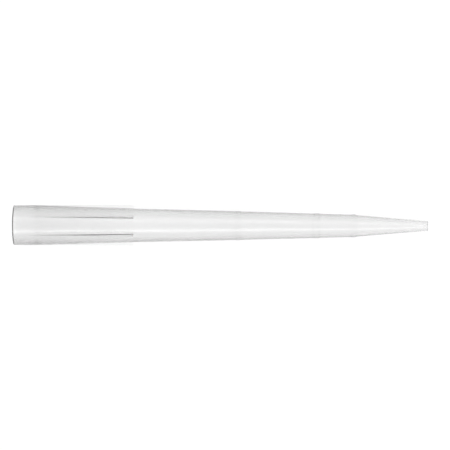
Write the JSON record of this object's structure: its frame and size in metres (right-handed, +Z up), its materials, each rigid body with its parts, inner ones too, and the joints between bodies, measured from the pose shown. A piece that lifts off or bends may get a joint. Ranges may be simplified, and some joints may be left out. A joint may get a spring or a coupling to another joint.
{
  "type": "pipette tip",
  "caption": "Clear tapered pipette tip with a ribbed wide end, graduation rings and a fine open point.",
  "frame": {"origin": "on the surface the tip lies on, under the middle of its bounding box", "axes": "+Z up; +X along the tip from its wide end to its point, level; +Y to the side. The tip lies on the lower ends of two ribs and on its upper graduation ring, so its own axis leans 1.52 degrees down towards +X"},
  "size_m": [0.0902, 0.0086, 0.0088],
  "materials": {
    "clear_polypropylene": "clear, faintly hazy, moulded"
  },
  "bodies": {
    "root": {"pipette_tip": "clear_polypropylene"}
  },
  "joints": []
}
